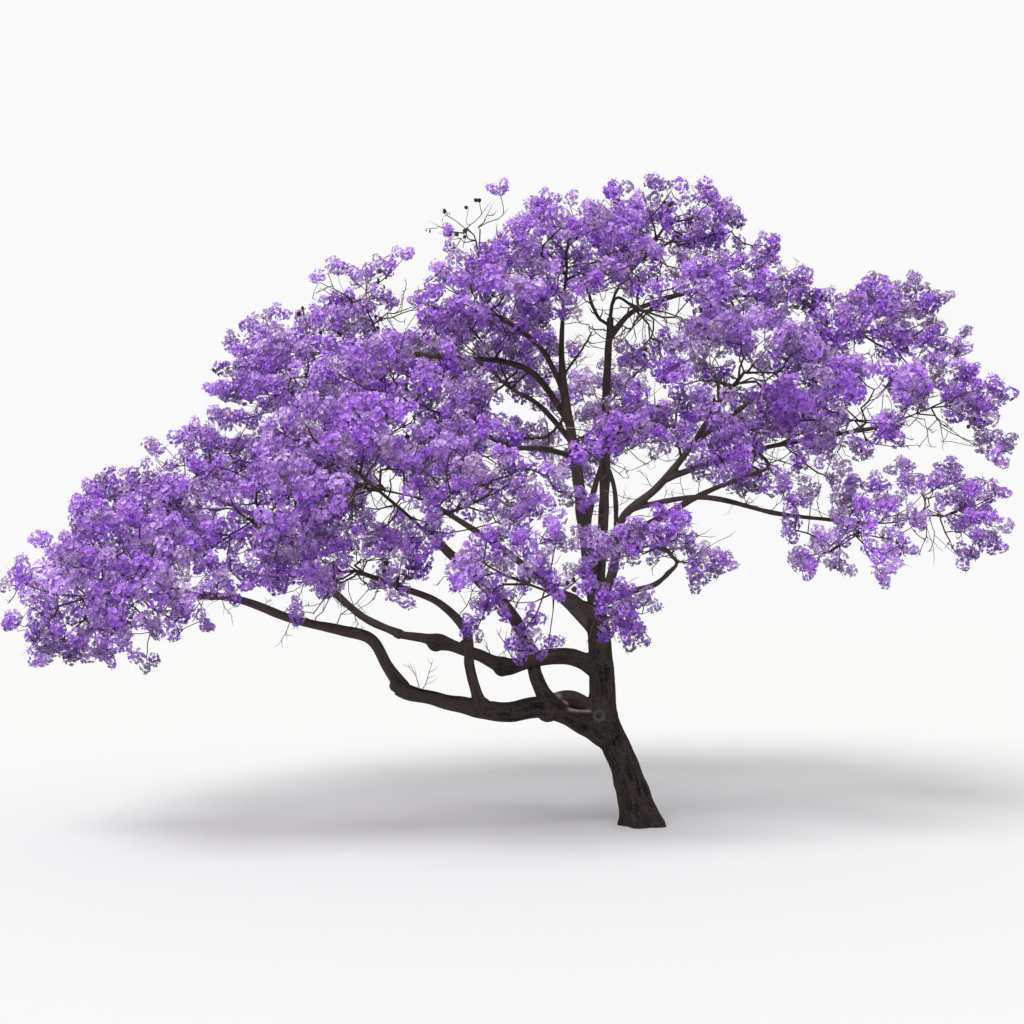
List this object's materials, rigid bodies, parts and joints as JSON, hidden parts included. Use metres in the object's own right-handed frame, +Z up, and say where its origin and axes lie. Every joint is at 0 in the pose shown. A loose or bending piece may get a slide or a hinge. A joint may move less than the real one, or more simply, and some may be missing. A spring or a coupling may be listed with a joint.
{
  "type": "jacaranda tree",
  "caption": "Whole jacaranda in full blossom: a leaning trunk with long low boughs and a wide open crown that hangs low to one side, rooted at a flat cut.",
  "frame": {"origin": "middle of the flat cut under the trunk, at ground level", "axes": "+Z up, +X towards the short right side of the crown as seen from the front, +Y away from the viewer; the trunk leans and the crown hangs low towards -X"},
  "size_m": [13.5032, 9.2145, 9.2603],
  "materials": {
    "bark": "dark grey-brown furrowed bark, dry and rough",
    "blossom": "soft violet-blue flowers in loose panicles, thin matte petals",
    "twigs": "thin pale grey-brown twigs, dry",
    "seed_pods": "flat round woody pods, dark brown"
  },
  "bodies": {
    "root": {"trunk": "bark", "back_bough": "bark", "back_left_bough": "bark", "back_right_bough": "bark", "back_top_limb": "bark", "far_right_limb": "bark", "fork_arch": "bark", "front_bough": "bark", "front_limb": "bark", "inner_riser": "bark", "leader": "bark", "left_edge_bough": "bark", "left_front_bough": "bark", "left_limb": "bark", "left_low_limb": "bark", "long_bough": "bark", "long_bough_end": "bark", "low_bough": "bark", "low_bough_end": "bark", "low_right_limb": "bark", "outer_riser": "bark", "right_crest_limb": "bark", "right_leader": "bark", "right_limb": "bark", "right_low_limb": "bark", "upper_left_limb": "bark", "upper_right_limb": "bark", "blossom_back_left": "blossom", "blossom_back_mid": "blossom", "blossom_back_mid_left": "blossom", "blossom_back_right": "blossom", "blossom_back_top": "blossom", "blossom_centre_front": "blossom", "blossom_centre_left": "blossom", "blossom_far_left_back": "blossom", "blossom_far_left_front": "blossom", "blossom_far_left_tip": "blossom", "blossom_far_right": "blossom", "blossom_far_right_low": "blossom", "blossom_front_drop": "blossom", "blossom_front_left_low": "blossom", "blossom_front_low": "blossom", "blossom_front_right_low": "blossom", "blossom_left_front": "blossom", "blossom_left_shoulder": "blossom", "blossom_mid_left_front": "blossom", "blossom_mid_left_low": "blossom", "blossom_right_front": "blossom", "blossom_right_low": "blossom", "blossom_right_mid": "blossom", "blossom_right_shoulder": "blossom", "blossom_right_top": "blossom", "blossom_right_upper": "blossom", "blossom_top": "blossom", "blossom_top_left": "blossom", "blossom_top_left_sprig": "blossom", "blossom_top_right": "blossom", "blossom_upper_left": "blossom", "blossom_upper_left_back": "blossom", "blossom_upper_left_peak": "blossom"}
  },
  "joints": []
}
